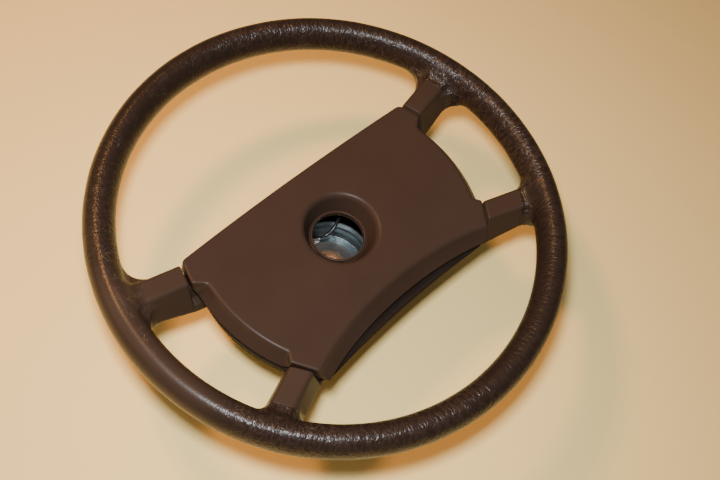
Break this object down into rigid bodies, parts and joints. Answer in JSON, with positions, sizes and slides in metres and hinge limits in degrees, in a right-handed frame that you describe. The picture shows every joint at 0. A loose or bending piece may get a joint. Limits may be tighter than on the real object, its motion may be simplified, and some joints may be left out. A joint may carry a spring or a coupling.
{
  "type": "steering wheel",
  "caption": "Four-spoke car steering wheel with a grained foam rim, a wide padded centre plate that presses to sound the horn, and a deep hub behind it.",
  "frame": {"origin": "on the hub axis at the hub's back face, where it meets the steering column", "axes": "+Z along the hub axis towards the driver, +Y towards the top of the wheel at straight ahead, +X to the driver's right"},
  "size_m": [0.4, 0.4, 0.145],
  "materials": {
    "foam_skin": "grained integral-skin polyurethane foam, satin",
    "pad_skin": "smooth soft vinyl skin, matt",
    "pad_foam": "open foam filler",
    "steel": "phosphated pressed steel",
    "zinc_steel": "zinc-plated pressed steel, bluish",
    "hub_steel": "turned hub with a yellow-passivated, copper-toned face",
    "spring_steel": "spring wire",
    "black_plastic": "moulded insulator",
    "white_plastic": "natural nylon",
    "brass": "contact brass",
    "brass_plated": "tinned terminal",
    "cable": "black insulated lead"
  },
  "bodies": {
    "wheel": {"rim_foam": "foam_skin", "rim_core": "steel", "spider": "steel", "impact_pot": "zinc_steel", "pot_rivets": "steel", "hub": "hub_steel", "hub_clamp_ring": "zinc_steel", "slip_carrier": "black_plastic", "slip_ring": "brass", "lead_terminal": "brass_plated", "horn_lead": "cable", "guide_posts": "steel", "horn_springs": "spring_steel", "contact_insulator": "black_plastic", "contact_ring": "brass"},
    "horn_pad": {"pad_cover": "pad_skin", "pad_filler": "pad_foam", "pad_plate": "steel", "guide_bushes": "white_plastic", "pad_contacts": "brass"}
  },
  "joints": [
    {"name": "horn_press", "type": "slide", "parent": "wheel", "child": "horn_pad", "axis": [0, 0, 1], "range_m": [-0.0025, 0], "stiffness_N_per_m": 6000, "springref_m": 0.003, "deforming": ["horn_springs"]}
  ]
}
